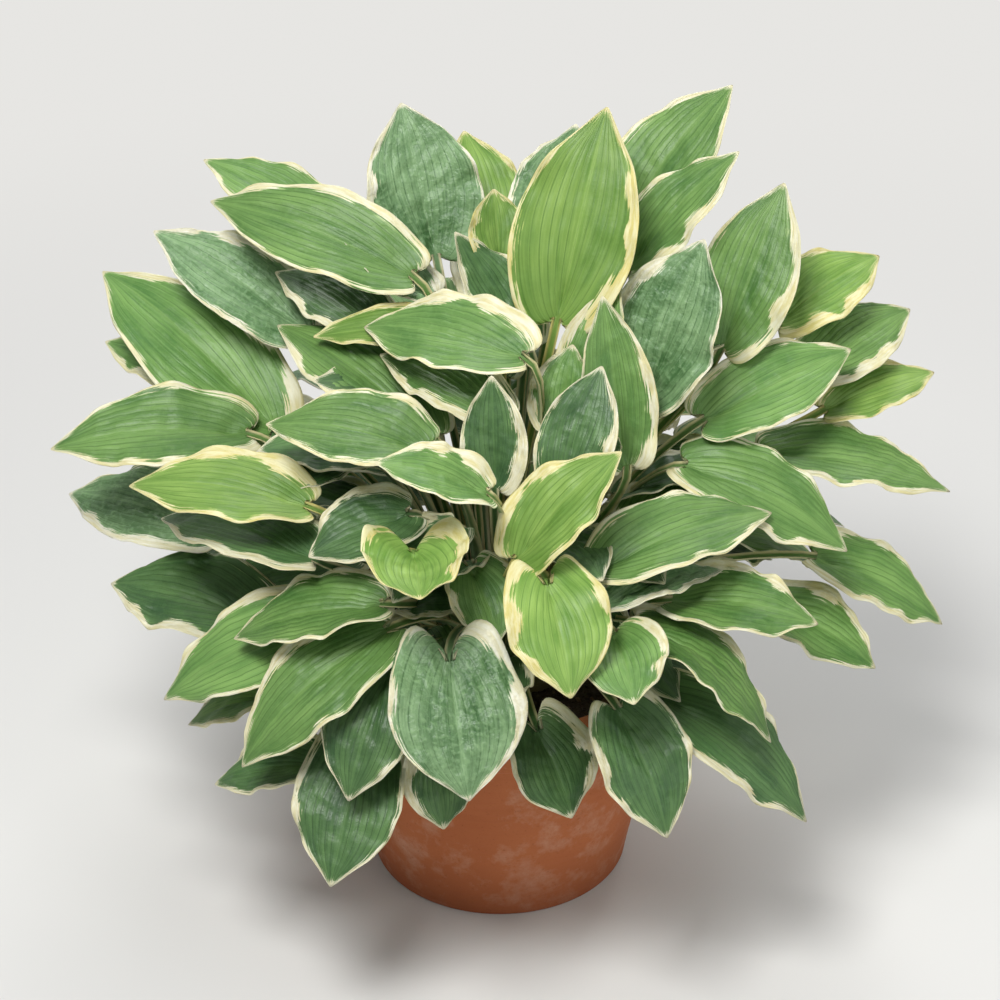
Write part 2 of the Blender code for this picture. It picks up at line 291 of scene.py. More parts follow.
for i in range(HOLES):
    angle = 2 * math.pi * i / HOLES
    place = (-HOLE_CIRCLE * math.sin(angle), HOLE_CIRCLE * math.cos(angle), POT_FLOOR / 2)
    bpy.ops.mesh.primitive_cylinder_add(
        vertices=24, radius=HOLE_RADIUS, depth=3 * POT_FLOOR, location=place
    )
    drill = bpy.context.object
    cut = pot.modifiers.new("drain_hole", "BOOLEAN")
    cut.object = drill
    drilled = pot.evaluated_get(bpy.context.evaluated_depsgraph_get())
    pot.data = bpy.data.meshes.new_from_object(drilled)
    pot.modifiers.clear()
    bpy.data.objects.remove(drill)
pot.data.set_sharp_from_angle(angle=math.radians(40))
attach(pot, "root")
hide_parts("pot")

# ---------------------------------------------------------------- soil
# Dark potting mix of peat and bark, watered and settled twenty millimetres under the rim, with
# loose crumbs and flakes of bark lying on it.

SOIL_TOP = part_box("soil")[1][2]
SOIL_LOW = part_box("soil")[0][2]
SOIL_FALL = 0.004
SOIL_GAP = 0.0006
SOIL_LOW_GAP = 0.001
SOIL_SHOULDER = 0.003
SOIL_DIP = 0.0016
SOIL_HOLLOW = 0.003
soil_radius = body_radius(SOIL_TOP - SOIL_FALL) - WALL - SOIL_GAP


def ripple(x, y, seed, scale, octaves=4):
    """Smooth unevenness, about one in height: crossed sine waves whose directions and phases are
    drawn once, four to an octave, each octave 1.9 times finer and 1.8 times lower."""
    rng = np.random.RandomState(seed)
    total = np.zeros(np.shape(x))
    for octave in range(octaves):
        for _ in range(4):
            angle, phase = rng.uniform(0, 2 * np.pi, 2)
            wave = scale * 1.9**octave * rng.uniform(0.7, 1.3)
            total += np.sin((x * math.cos(angle) + y * math.sin(angle)) * wave + phase) / 1.8**octave
    return total / 4


def soil_height(x, y):
    """Height of the soil: uneven, and hollowed towards the wall with the fourth power of reach."""
    reach = np.hypot(x, y) / soil_radius
    return SOIL_TOP + SOIL_DIP * (ripple(x, y, 3, 110.0) - 1) - SOIL_HOLLOW * reach**4


def potting_mix():
    """Peat and composted bark, damp: nearly black, in crumbs of four millimetres, some of them
    paler fibre."""
    mix, shader, add = new_material("potting_mix", Roughness=0.9)
    place = add("TexCoord", out="Object")
    crumbs = {"Vector": place, "Scale": 240.0}
    tone = add("TexNoise", {"Vector": place, "Scale": 60.0, "Detail": 8.0, "Roughness": 0.7})
    brown = add("Mix", {0: tone, 6: linear("1d140d"), 7: linear("4a3524")}, out=2, data_type="RGBA")
    fibre = add("MapRange", [add("TexVoronoi", crumbs, out="Color"), 0.86, 0.95, 0.0, 0.6])
    colour = add("Mix", {0: fibre, 6: brown, 7: linear("7a6044")}, out=2, data_type="RGBA")
    join(colour, shader, "Base Color")
    relief = add("TexVoronoi", crumbs)
    join(add("Bump", {"Strength": 0.8, "Distance": 0.002, "Height": relief}), shader, "Normal")
    return mix


def pine_bark():
    """Composted pine bark: brown and fibrous, greyer where it has dried."""
    bark, shader, add = new_material("pine_bark", Roughness=0.85)
    place = add("TexCoord", out="Object")
    tone = add("TexNoise", {"Vector": place, "Scale": 90.0, "Detail": 6.0})
    brown = add("Mix", {0: tone, 6: linear("3a2517"), 7: linear("8a6a4a")}, out=2, data_type="RGBA")
    join(brown, shader, "Base Color")
    join(add("Bump", {"Strength": 0.6, "Distance": 0.001, "Height": tone}), shader, "Normal")
    return bark


def lumps(places, sizes, flats, rng):
    """Rough lumps at many places: each a ball of three rings of six points and two poles, pulled
    about by its own draws, then flattened and turned."""
    count = len(places)
    turn = np.linspace(0, 2 * np.pi, 6, endpoint=False)
    rise = np.radians([[-40.0], [5.0], [45.0]])
    out = np.cos(rise)
    ring = np.stack([out * np.cos(turn), out * np.sin(turn), np.sin(rise) + 0 * turn], axis=-1)
    ball = np.vstack([ring.reshape(-1, 3), [[0, 0, -1], [0, 0, 1]]])
    shape = ball * rng.uniform(0.7, 1.3, (count, len(ball), 1)) * sizes[:, None, None]
    shape[..., 1] *= flats[:, None]
    shape[..., 2] *= rng.uniform(0.4, 0.9, (count, 1))
    yaw = rng.uniform(0, 2 * np.pi, (count, 1))
    x = shape[..., 0] * np.cos(yaw) - shape[..., 1] * np.sin(yaw)
    y = shape[..., 0] * np.sin(yaw) + shape[..., 1] * np.cos(yaw)
    points = np.stack([x, y, shape[..., 2]], axis=-1) + places[:, None]
    k = np.arange(6)
    n = (k + 1) % 6
    step = np.arange(count)[:, None, None] * len(ball)
    sides = np.vstack([np.stack([k, n, n + 6, k + 6], axis=-1) + row for row in (0, 6)])
    low = np.stack([n, k, 0 * k + 18], axis=-1)
    high = np.stack([k + 12, n + 12, 0 * k + 19], axis=-1)
    caps = np.vstack([low, high])
    return points, (sides + step).reshape(-1, 4).tolist() + (caps + step).reshape(-1, 3).tolist()


def scatter(name, count, sizes, flats, seed, material):
    """Loose bits lying on the soil between the crown and the wall."""
    rng = np.random.RandomState(seed)
    around = rng.uniform(0, 2 * np.pi, count)
    out = np.sqrt(rng.uniform(0.055**2, (soil_radius - 0.006) ** 2, count))
    x, y = out * np.cos(around), out * np.sin(around)
    size = rng.uniform(*sizes, count)
    places = np.stack([x, y, soil_height(x, y) + size * 0.2], axis=-1)
    points, faces = lumps(places, size, rng.uniform(*flats, count), rng)
    bits = mesh_piece(name, points, faces, [material], smooth=False)
    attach(bits, "root")


mix = potting_mix()
soil_low_radius = body_radius(SOIL_LOW) - WALL - SOIL_LOW_GAP
soil_edge = SOIL_TOP - SOIL_FALL - 0.002
profile = (
    straight((0.002, SOIL_LOW), (soil_low_radius, SOIL_LOW), 2)
    + straight((soil_low_radius, SOIL_LOW), (soil_radius, soil_edge), 2)
    + straight((soil_radius, soil_edge), (soil_radius - SOIL_SHOULDER, SOIL_TOP), 1)
    + straight((soil_radius - SOIL_SHOULDER, SOIL_TOP), (0.0, SOIL_TOP), 70)
)
points, faces = turned(profile, ROUND_STEPS)
surface = points[:, 2] > SOIL_TOP - 0.001
points[surface, 2] = soil_height(points[surface, 0], points[surface, 1])
soil = mesh_piece("potting_soil", points, faces, [mix])
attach(soil, "root")
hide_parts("soil")
scatter("soil_crumbs", 1500, (0.0012, 0.0032), (0.7, 1.0), 11, mix)
scatter("bark_chips", 150, (0.003, 0.007), (0.35, 0.7), 17, pine_bark())

# ---------------------------------------------------------------- crown
# The woody crown that the stalks grow from: a low knobbly disc, brown and corky with the dry ends
# of last year's stalks.

CROWN_RADIUS = 0.078
CROWN_EDGE = 0.005
CROWN_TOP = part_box("crown")[1][2]
CROWN_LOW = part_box("crown")[0][2]
KNOB_HEIGHT = 0.0011
CROWN_SUNK = 0.002


def crown_wood():
    """Old crown tissue: buff brown, corky and dry, in flakes of a few millimetres."""
    wood, shader, add = new_material("crown_wood", Roughness=0.8)
    place = add("TexCoord", out="Object")
    cork = add("TexNoise", {"Vector": place, "Scale": 110.0, "Detail": 7.0, "Roughness": 0.65})
    brown = add("Mix", {0: cork, 6: linear("3d301d"), 7: linear("8f8155")}, out=2, data_type="RGBA")
    join(brown, shader, "Base Color")
    join(add("Bump", {"Strength": 0.7, "Distance": 0.001, "Height": cork}), shader, "Normal")
    return wood


profile = (
    straight((0.002, CROWN_LOW - CROWN_SUNK), (CROWN_RADIUS - 0.002, CROWN_LOW - CROWN_SUNK), 2)
    + straight((CROWN_RADIUS - 0.002, CROWN_LOW - CROWN_SUNK), (CROWN_RADIUS, CROWN_TOP - CROWN_EDGE), 3)
    + round_edge((CROWN_RADIUS - CROWN_EDGE, CROWN_TOP - CROWN_EDGE), CROWN_EDGE, 0, 80)
    + straight((CROWN_RADIUS - CROWN_EDGE, CROWN_TOP), (0.0, CROWN_TOP), 40)
)
points, faces = turned(profile, 120)
upper = points[:, 2] > CROWN_TOP - CROWN_EDGE / 2
knobs = KNOB_HEIGHT * (ripple(points[:, 0], points[:, 1], 7, 190.0, 3) - 1.3)
points[:, 2] += np.where(upper, knobs, 0.0)
crown = mesh_piece("crown_of_the_plant", points, faces, [crown_wood()])
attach(crown, "root")
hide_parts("crown")

# ---------------------------------------------------------------- leaves
# Each leaf grows from its foot on the crown as one thin piece: a channelled stalk with cream edges
# that opens into a ribbed, heart-shaped blade. A cream margin, wide on one side and narrow on the
# other, runs round the blade and breaks into the green in tongues along the veins.

FEET_RADIUS = 0.068
FEET_SPACING = 0.0115
FOOT_HEIGHT = CROWN_TOP - SOIL_TOP - KNOB_HEIGHT
STALK_HALF_WIDTH = 0.004
FOOT_FLARE = 0.0022
STALK_CHANNEL = 0.0035
TIP_HALF_WIDTH = 0.0009
MIDRIB_HALF_WIDTH = 0.0022
VALLEY_HALF_WIDTH = 0.008
VEINS = 7
STEPS_PER_VEIN = 4
STALK_ROWS = 12
BLADE_ROWS = 46
BLADE_THICKNESS = 0.00035
STALK_THICKNESS = 0.0010  # on top of the blade's, as is the midrib's
MIDRIB_THICKNESS = 0.0009
RIB_HEIGHT = 0.0009
PUCKER_SCALE = 330.0
FRILL_SHARE = 0.0042 / 0.085  # height of the edge's waves as a share of the blade's width
MIDRIB_DEPTH = 0.0012
VALLEY_DEPTH = 0.003
TWIST = math.radians(8.0)
STRAY_SHARE = 0.035
# The margin's mean width on its narrow side, on its wide side and at the tip, in millimetres.
NARROW_MARGIN = (2.5, 6.0)
WIDE_MARGIN = (6.0, 14.0)
TIP_MARGIN = 4.0

# Habit of a blade: how far the midrib arches over its chord, how far the edges rise above the
# midrib at the base and at the tip (shares of the half width), and how far the base lobes reach back.
HABITS = {
    "arched": (0.10, 0.30, -0.10, 0.20),
    "flat": (0.05, 0.20, 0.05, 0.20),
    "upright": (0.04, 0.35, 0.10, 0.15),
    "heart": (0.09, 0.25, -0.15, 0.32),
    "hanging": (0.14, 0.25, -0.20, 0.30),
    "cupped": (0.05, 0.75, 0.05, 0.32),
}

# Every leaf: bearing, reach and height of the blade's base, then heading, pitch, length and width
# of the blade, its roll, its habit and its colour. Lengths in mm from the crown, angles in degrees.
UPPER_LEAVES = (
    (-136, 207, 336, -118, 22, 158, 78, 10, "arched", "mid"),
    (-127, 100, 355, -112, 10, 198, 88, 30, "arched", "mid"),
    (-115, 193, 290, -116, 25, 166, 88, 25, "flat", "blue"),
    (-153, 129, 349, -152, 60, 138, 105, 10, "upright", "blue"),
    (-177, 145, 346, -164, 45, 110, 80, 0, "upright", "fresh"),
    (90, 50, 343, 150, 62, 185, 108, -15, "upright", "fresh"),
    (135, 156, 378, 122, 45, 158, 90, -20, "arched", "mid"),
    (120, 133, 358, 105, 45, 139, 72, -25, "arched", "mid"),
    (99, 198, 298, 138, 55, 154, 88, -25, "upright", "mid"),
    (108, 264, 298, 123, 20, 115, 75, -25, "arched", "fresh"),
    (79, 128, 281, 123, 64, 144, 105, -20, "upright", "blue"),
)
MIDDLE_LEAVES = (
    (-101, 210, 216, -130, 25, 222, 110, 25, "arched", "mid"),
    (-93, 227, 221, -83, 0, 171, 88, 25, "arched", "mid"),
    (-55, 204, 223, -99, 2, 152, 82, 15, "arched", "fresh"),
    (-91, 262, 125, -119, 0, 154, 85, 30, "arched", "blue"),
    (-48, 213, 185, -123, -5, 168, 80, 10, "arched", "deep"),
    (-30, 133, 279, -100, 5, 133, 82, 25, "arched", "mid"),
    (-52, 77, 254, -126, 16, 181, 85, 12, "arched", "mid"),
    (-120, 50, 322, -85, -4, 120, 52, 15, "flat", "fresh"),
    (15, 65, 338, -118, -5, 156, 88, 20, "arched", "mid"),
    (-2, 138, 254, 180, 70, 94, 56, 0, "upright", "deep"),
    (-4, 185, 276, -80, 22, 96, 62, 20, "arched", "mid"),
    (5, 190, 217, 109, 45, 122, 78, -22, "arched", "fresh"),
    (20, 152, 254, 147, 52, 109, 66, -15, "upright", "deep"),
    (52, 137, 245, -152, 68, 146, 65, 10, "upright", "mid"),
    (84, 181, 253, 112, 15, 147, 82, -25, "flat", "mid"),
    (103, 284, 253, 122, 15, 122, 72, -25, "arched", "mid"),
    (99, 297, 227, 116, 8, 112, 62, -25, "arched", "fresh"),
    (92, 238, 202, 82, -10, 166, 85, -12, "arched", "mid"),
    (73, 170, 223, 71, -20, 156, 88, -15, "arched", "mid"),
    (27, 192, 195, 114, 5, 160, 82, -15, "arched", "mid"),
)
OUTER_LEAVES = (
    (-74, 238, 82, -105, 5, 125, 105, 12, "heart", "deep"),
    (-43, 201, 129, -86, -28, 174, 92, 25, "hanging", "mid"),
    (-29, 209, 165, -93, -18, 131, 82, 10, "arched", "mid"),
    (-27, 212, 143, -68, -38, 167, 88, 22, "hanging", "mid"),
    (-24, 231, 117, -30, -50, 112, 80, 10, "arched", "deep"),
    (-29, 243, 39, -16, -45, 119, 95, 5, "heart", "deep"),
    (-10, 239, 144, 9, -48, 116, 115, 0, "heart", "blue"),
    (24, 243, 86, 35, -48, 114, 85, -5, "arched", "deep"),
    (37, 230, 70, 72, -35, 163, 85, -15, "hanging", "deep"),
    (10, 224, 209, 14, -38, 98, 90, 0, "heart", "fresh"),
    (-20, 208, 224, 6, 6, 85, 88, 0, "cupped", "fresh"),
    (-32, 150, 220, -66, -14, 90, 75, 20, "arched", "deep"),
    (24, 232, 155, 12, -10, 83, 78, -5, "arched", "mid"),
    (34, 221, 143, 63, -33, 141, 88, 8, "hanging", "mid"),
    (25, 210, 170, 120, 0, 116, 48, -10, "arched", "blue"),
    (44, 212, 150, 82, -5, 124, 82, -10, "arched", "mid"),
    (76, 249, 87, 67, -22, 107, 80, -15, "arched", "mid"),
    (86, 285, 111, 81, -25, 129, 80, -15, "arched", "mid"),
)
BACK_LEAVES = (
    (125, 235, 140, 125, -30, 165, 95, 0, "hanging", "mid"),
    (155, 235, 120, 155, -30, 165, 98, 0, "hanging", "blue"),
    (182, 235, 135, 182, -30, 165, 95, 0, "hanging", "mid"),
    (-155, 235, 120, -155, -30, 165, 98, 0, "hanging", "deep"),
    (-128, 235, 135, -128, -30, 165, 95, 0, "hanging", "mid"),
    (142, 190, 240, 142, -5, 160, 95, 0, "arched", "mid"),
    (170, 190, 250, 170, -5, 160, 95, 0, "arched", "blue"),
    (-160, 190, 240, -160, -5, 160, 95, 0, "arched", "mid"),
)
# Leaves that fill in among the others at the sides and the back, and young ones deep in the clump.
FILLING_LEAVES = (
    (180, 85, 355, -168, 60, 65, 55, 0, "upright", "fresh"),
    (-138, 92, 330, -98, 32, 95, 58, 20, "upright", "blue"),
    (-106, 273, 232, -121, 8, 120, 60, 20, "arched", "mid"),
    (0, 70, 283, -123, 12, 126, 66, 15, "arched", "mid"),
    (39, 77, 268, 153, 60, 72, 58, -10, "upright", "mid"),
    (142, 38, 301, -128, 45, 118, 70, 10, "upright", "deep"),
    (55, 78, 285, 140, 60, 108, 54, -10, "upright", "mid"),
    (-37, 252, 15, -100, -20, 105, 66, 10, "arched", "deep"),
    (-54, 241, 46, -94, -25, 88, 58, 10, "arched", "mid"),
    (9, 207, 52, 33, -50, 79, 84, 0, "heart", "deep"),
    (-28, 170, 145, 79, 10, 58, 55, -10, "arched", "deep"),
    (-9, 152, 182, 24, -35, 71, 66, 0, "arched", "mid"),
    (-15, 222, 35, 11, -50, 64, 62, 0, "arched", "deep"),
    (-18, 126, 201, -49, -20, 77, 60, 10, "arched", "deep"),
    (23, 163, 145, 62, -30, 62, 58, -5, "arched", "deep"),
    (62, 129, 165, 125, 20, 87, 60, -10, "arched", "mid"),
    (-72, 129, 229, -50, 0, 100, 60, 10, "arched", "deep"),
    (100, 190, 110, 100, -25, 130, 80, -5, "arched", "mid"),
    (-100, 180, 110, -100, -25, 130, 80, 5, "arched", "deep"),
    (160, 150, 300, 165, 10, 120, 76, 0, "arched", "mid"),
    (-170, 160, 230, -172, -10, 140, 84, 0, "arched", "fresh"),
    (-140, 190, 190, -140, -15, 140, 84, 0, "arched", "blue"),
    (140, 180, 110, 140, -30, 120, 80, 0, "hanging", "deep"),
    (118, 170, 205, 112, -8, 130, 80, 0, "arched", "mid"),
    (-130, 150, 265, -131, 8, 130, 80, 0, "arched", "mid"),
    (-112, 165, 150, -115, -14, 130, 80, 0, "arched", "deep"),
    (156, 175, 195, 156, -18, 130, 82, 0, "arched", "fresh"),
    (162, 118, 365, 160, 42, 115, 74, 0, "upright", "blue"),
    (-178, 122, 290, -176, 14, 125, 78, 0, "arched", "deep"),
    (178, 205, 185, 177, -24, 135, 82, 0, "hanging", "mid"),
    (-118, 212, 185, -118, -22, 135, 82, 0, "hanging", "deep"),
    (100, 205, 150, 99, -24, 130, 82, 0, "arched", "deep"),
    (-115, 110, 296, -122, 18, 125, 74, 10, "arched", "deep"),
    (105, 120, 268, 112, 20, 120, 72, -10, "arched", "deep"),
    (-62, 108, 232, -84, 8, 115, 76, 10, "arched", "deep"),
)
# Three rings of shaded leaves under the rest: count, then reach and height of the blade's base,
# pitch, length and width. They stand evenly round, each ring turned by half a step, and every other
# one is higher and swings the other way.
SHADED_RINGS = (
    (8, 70, 240, 25, 105, 70),
    (12, 110, 170, 12, 120, 80),
    (12, 135, 85, -8, 120, 84),
)
SHADED_SWING = 14
SHADED_RISE = 11
SHADED_ROLL = 8
SHADED_LEFT_OUT = ((0, 4), (1, 4))  # ring and place where the leaves above already fill the room


def shaded_leaves():
    """Rows like the ones above for the three rings."""
    rows = []
    for ring, (count, reach, height, pitch, length, width) in enumerate(SHADED_RINGS):
        for k in range(count):
            if (ring, k) in SHADED_LEFT_OUT:
                continue
            bearing = (k + ring / 2) * 360 / count - 180
            side = (-1) ** k
            # Every shaded leaf takes the deep greens, which are partly painted shade.
            rows.append((bearing, reach, height + side * SHADED_RISE, bearing + side * SHADED_SWING,
                         pitch, length, width, side * SHADED_ROLL, "arched", "deep"))
    return rows


TIERS = {
    "upper": UPPER_LEAVES,
    "middle": MIDDLE_LEAVES,
    "outer": OUTER_LEAVES,
    "back": BACK_LEAVES,
    "filling": FILLING_LEAVES,
    "inner": shaded_leaves(),
}
MODELLED_TIERS = ("upper", "middle", "outer", "back")

# Colours of a blade's upper side: the painted shade in its sunken vein lines, the dark and light of
# its green, the half-coloured tongues, and the cream and white of its margin.
BLADE_COLOURS = {
    "fresh": ("4f7a2a", "648f38", "9abd5f", "c0cf78", "dfd284", "f0e9ba"),
    "mid": ("3d662c", "4f7c39", "85ac5e", "aac57e", "e3d9a2", "f3efd4"),
    "blue": ("3d6538", "4e7846", "96b985", "b8cc9e", "e4dcb2", "f4f1e0"),
    # The deep greens are partly painted shade for leaves low in the clump, partly their own deeper green.
    "deep": ("2a4a26", "375c33", "668c52", "8eac6c", "ded5a6", "f0ecd4"),
}
# How strongly each kind is quilted, as relief and as a painted highlight on the crests that is partly
# real pale bloom, and the height of its puckers in metres.
QUILTING = {"fresh": 0.4, "mid": 0.8, "blue": 2.4, "deep": 1.0}
PUCKER = {"fresh": 0.0005, "mid": 0.0008, "blue": 0.0017, "deep": 0.0009}
SKIN_GRAIN = 900.0
QUILT_GRAIN = 230.0
LET_THROUGH = 0.2


def leaf_tissue(name, codes, quilting, underside):
    """Leaf skin with a satin wax. The blade attribute holds across, along and a number for the
    leaf; margin is the depth inside the margin's mean line in millimetres, negative in the cream;
    stalk is one on the stalk. The underside is paler and duller, with its ribs standing out."""
    tissue, shader, add = new_material(name, Specular_IOR_Level=0.42)
    vein_shade, dark, light, tongue, cream, white = (linear(code) for code in codes)
    blade = add("Attribute", out="Vector", attribute_name="blade")
    inside = add("Attribute", out="Fac", attribute_name="margin")
    stalk = add("Attribute", out="Fac", attribute_name="stalk")
    across = add("SeparateXYZ", [blade])
    out_from_midrib = add("Math", [across], operation="ABSOLUTE")

    # Streaks that run with the veins, short and broad for the cream, long and thin for the green.
    patches = add("Mapping", {"Vector": blade, "Scale": (14.0, 9.0, 40.0)})
    streaks = add("Mapping", {"Vector": blade, "Scale": (34.0, 3.2, 70.0)})
    patch = add("TexNoise", {"Vector": patches, "Scale": 1.0, "Detail": 4.0, "Roughness": 0.6})
    streak = add("TexNoise", {"Vector": streaks, "Scale": 1.0, "Detail": 3.0, "Roughness": 0.6})
    clouds = add("Mapping", {"Vector": blade, "Scale": (2.2, 2.6, 40.0)})
    cloud = add("TexNoise", {"Vector": clouds, "Scale": 1.0})

    # The green, with painted shade in its sunken vein lines, seven a side from the base to the tip,
    # a paler midrib, and a painted highlight on the puckers' crests, partly their real pale bloom.
    swing = add("Math", [add("Math", [across, VEINS * math.pi], operation="MULTIPLY")], operation="SINE")
    rib = add("Math", [swing], operation="ABSOLUTE")
    tone = add("Math", [cloud, 0.75], operation="MULTIPLY")
    tone = add("Math", [streak, 0.45, tone], operation="MULTIPLY_ADD")
    green = add("Mix", {0: add("MapRange", [tone, 0.42, 0.78]), 6: dark, 7: light}, out=2, data_type="RGBA")
    # Painted shade: the vein lines are darkened as if their grooves lay in shadow.
    vein_shade_share = add("MapRange", [rib, 0.0, 0.3, add("MapRange", [cloud, 0.35, 0.65, 0.4, 0.9]), 0.0])
    green = add("Mix", {0: vein_shade_share, 6: green, 7: vein_shade}, out=2, data_type="RGBA")
    number = add("SeparateXYZ", [blade], out=2)
    green = add("HueSaturation", {"Value": add("MapRange", [number, 0.0, 1.0, 0.82, 1.12]), "Color": green})
    place = add("TexCoord", out="Object")
    quilt = add("TexNoise", {"Vector": place, "Scale": QUILT_GRAIN, "Detail": 3.0})
    # Painted highlight, partly real pale bloom: the raised crests of the puckers are lightened.
    crest_highlight_and_bloom = add("MapRange", [quilt, 0.5, 0.66, 0.0, 0.2 * quilting])
    green = add("Mix", {0: crest_highlight_and_bloom, 6: green, 7: light}, out=2, data_type="RGBA")
    central = add("MapRange", [out_from_midrib, 0.02, 0.05, 0.55, 0.0])
    green = add("Mix", {0: central, 6: green, 7: light}, out=2, data_type="RGBA")

    # The margin: its depth is carried in and out by the streaks and patches, and between it and the
    # green lie half-coloured tongues a few millimetres longer.
    depth = add("Math", [patch, -7.0, inside], operation="MULTIPLY_ADD")
    depth = add("Math", [streak, -15.0, depth], operation="MULTIPLY_ADD")
    depth = add("Math", [depth, 11.0], operation="ADD")
    tongues = add("Math", [patch, -9.0, depth], operation="MULTIPLY_ADD")
    tongues = add("MapRange", [tongues, -4.6, -3.6, 0.8, 0.0])
    whiter = add("MapRange", [patch, 0.38, 0.62])
    pale = add("Mix", {0: whiter, 6: cream, 7: white}, out=2, data_type="RGBA")
    face = add("Mix", {0: tongues, 6: green, 7: tongue}, out=2, data_type="RGBA")
    edge = add("MapRange", [depth, -0.35, 0.35, 1.0, 0.0])
    face = add("Mix", {0: edge, 6: face, 7: pale}, out=2, data_type="RGBA")

    # The stalk: pale green with cream edges.
    rim = add("MapRange", [out_from_midrib, 0.55, 0.85])
    stem = add("Mix", {0: 0.35, 6: light, 7: dark}, out=2, data_type="RGBA")
    stem = add("Mix", {0: rim, 6: stem, 7: cream}, out=2, data_type="RGBA")
    colour = add("Mix", {0: add("MapRange", [stalk, 0.75, 1.0]), 6: face, 7: stem}, out=2, data_type="RGBA")
    if underside:
        colour = add("Mix", {0: 0.3, 6: colour, 7: linear("b9cba6")}, out=2, data_type="RGBA")
    join(colour, shader, "Base Color")
    dull = (0.14 if underside else 0.0) - 0.03 * quilting
    join(add("MapRange", [streak, 0.3, 0.7, 0.38 + dull, 0.54 + dull]), shader, "Roughness")

    grain = add("TexNoise", {"Vector": place, "Scale": SKIN_GRAIN, "Detail": 2.0})
    relief = add("Math", [grain, 0.2], operation="MULTIPLY")
    relief = add("Math", [quilt, quilting, relief], operation="MULTIPLY_ADD")
    relief = add("Math", [rib, -0.7 if underside else 0.7, relief], operation="MULTIPLY_ADD")
    fine_ribs = add("Bump", {"Strength": 0.6, "Distance": 0.001, "Height": relief})
    join(fine_ribs, shader, "Normal")

    # Light from behind glows yellow-green through the blade.
    through = add("Mix", {0: 0.3, 6: colour, 7: linear("cfe06a")}, out=2, data_type="RGBA")
    glow = add("BsdfTranslucent", {"Color": through, "Normal": fine_ribs})
    lit = add("MixShader", [LET_THROUGH, shader.outputs[0], glow])
    join(lit, tissue.node_tree.nodes["Material Output"], "Surface")
    return tissue


def unit(vectors):
    """The vectors divided by their lengths."""
    return vectors / np.linalg.norm(vectors, axis=-1, keepdims=True)


def outward(bearing):
    """The level direction that points away from the crown at a bearing."""
    return np.array([math.sin(math.radians(bearing)), -math.cos(math.radians(bearing)), 0.0])


def sideways(bearing):
    """The level direction a quarter turn from the bearing's own."""
    return np.array([math.cos(math.radians(bearing)), math.sin(math.radians(bearing)), 0.0])


def smooth(t):
    """0 up to t = 0, 1 from t = 1, and 3 t^2 - 2 t^3 between."""
    t = np.clip(t, 0.0, 1.0)
    return t * t * (3.0 - 2.0 * t)


def blade_axes(leaf):
    """Base of the blade, its chord, and its side and face directions after the roll."""
    bearing, reach, height, heading, pitch, length, _, roll = leaf[:8]
    base = outward(bearing) * reach / 1000 + np.array([0.0, 0.0, height / 1000])
    rise = math.radians(pitch)
    along = math.cos(rise) * outward(heading) + math.sin(rise) * np.array([0.0, 0.0, 1.0])
    level = sideways(heading)
    face = np.cross(along, level)
    turn = math.radians(roll)
    side = math.cos(turn) * level - math.sin(turn) * face
    return base, along * length / 1000, side, np.cross(along, side)


def crown_feet(leaves):
    """Where each leaf stands on the crown: on its own bearing, steep leaves inside and low ones
    outside, then spread until no two stand closer than the spacing."""
    middles = np.array([blade_axes(leaf)[0] for leaf in leaves])
    run = np.hypot(middles[:, 0], middles[:, 1])
    rank = np.argsort(np.argsort(run / (middles[:, 2] + 0.05)))
    radius = FEET_RADIUS * np.sqrt((rank + 0.5) / len(leaves))
    feet = middles[:, :2] / run[:, None] * radius[:, None]
    for _ in range(300):
        apart = feet[:, None] - feet[None]
        distance = np.hypot(apart[..., 0], apart[..., 1]) + np.eye(len(feet))
        short = np.clip(FEET_SPACING - distance, 0.0, None) * (1 - np.eye(len(feet)))
        feet += (apart / distance[..., None] * short[..., None]).sum(axis=1) * 0.4
        reach = np.hypot(feet[:, 0], feet[:, 1])
        feet *= np.minimum(1.0, FEET_RADIUS / reach)[:, None]
    return feet


def waves(t, phases):
    """Three sine waves of two to four cycles for t from 0 to 1, about one in height together."""
    return sum(np.sin((2 + k) * 7.5 * t + phase) / (1 + 0.5 * k) for k, phase in enumerate(phases)) / 1.6


